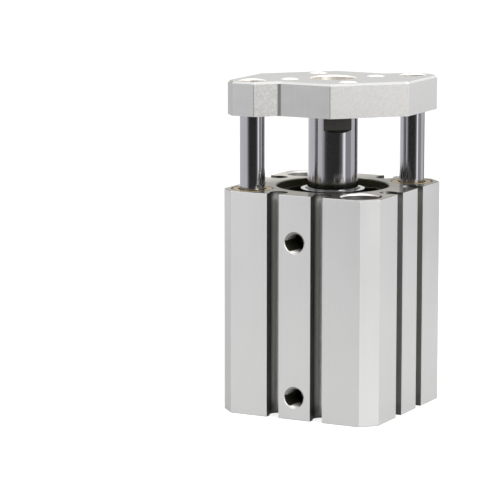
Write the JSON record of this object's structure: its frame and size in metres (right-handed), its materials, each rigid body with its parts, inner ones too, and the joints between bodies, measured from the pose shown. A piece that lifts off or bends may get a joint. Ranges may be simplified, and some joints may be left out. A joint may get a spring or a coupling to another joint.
{
  "type": "guide-rod compact pneumatic cylinder",
  "caption": "Compact guided air cylinder: square aluminium body with sensor grooves and threaded ports, chromed piston and guide rods, and a drilled end plate that slides out.",
  "frame": {"origin": "centre of the body's bottom face", "axes": "+Z along the piston rod towards the end plate, -Y out of the port face, +X to the right of it"},
  "size_m": [0.04, 0.04, 0.0778],
  "materials": {
    "anodised_body": "clear anodised extrusion, fine matt",
    "machined_plate": "machined and blasted, clear anodised",
    "dark_cover": "dark anodised face with a bright turned nose",
    "bottom_aluminium": "turned",
    "chromed_rod": "ground and hard chromed",
    "guide_steel": "ground and hard chromed",
    "sintered_bronze": "oil-soaked sintered bronze",
    "ring_steel": "black phosphated spring steel",
    "black_screw": "black oxide",
    "seal_rubber": "matt",
    "bumper_urethane": "satin",
    "magnet": "sintered, matt",
    "piston_aluminium": "turned"
  },
  "bodies": {
    "barrel": {"cylinder_tube": "anodised_body", "rod_cover": "dark_cover", "rod_cover_gasket": "seal_rubber", "rod_cover_retaining_ring": "ring_steel", "rod_seal": "seal_rubber", "bottom_cover": "bottom_aluminium", "bottom_cover_gasket": "seal_rubber", "bottom_retaining_ring": "ring_steel", "rod_side_bumper": "bumper_urethane", "head_side_bumper": "bumper_urethane", "guide_bush_right_upper": "sintered_bronze", "guide_bush_right_lower": "sintered_bronze", "guide_bush_left_upper": "sintered_bronze", "guide_bush_left_lower": "sintered_bronze"},
    "slide": {"end_plate": "machined_plate", "piston_rod": "chromed_rod", "piston_front_half": "piston_aluminium", "piston_rear_half": "piston_aluminium", "magnet_ring": "magnet", "piston_seal": "seal_rubber", "piston_gasket": "seal_rubber", "piston_rod_screw": "black_screw", "guide_rod_right": "guide_steel", "guide_rod_left": "guide_steel", "guide_rod_screw_right": "black_screw", "guide_rod_screw_left": "black_screw"}
  },
  "joints": [
    {"name": "rod_stroke", "type": "slide", "parent": "barrel", "child": "slide", "axis": [0, 0, 1], "range_m": [-0.0123, 0.0077]}
  ]
}
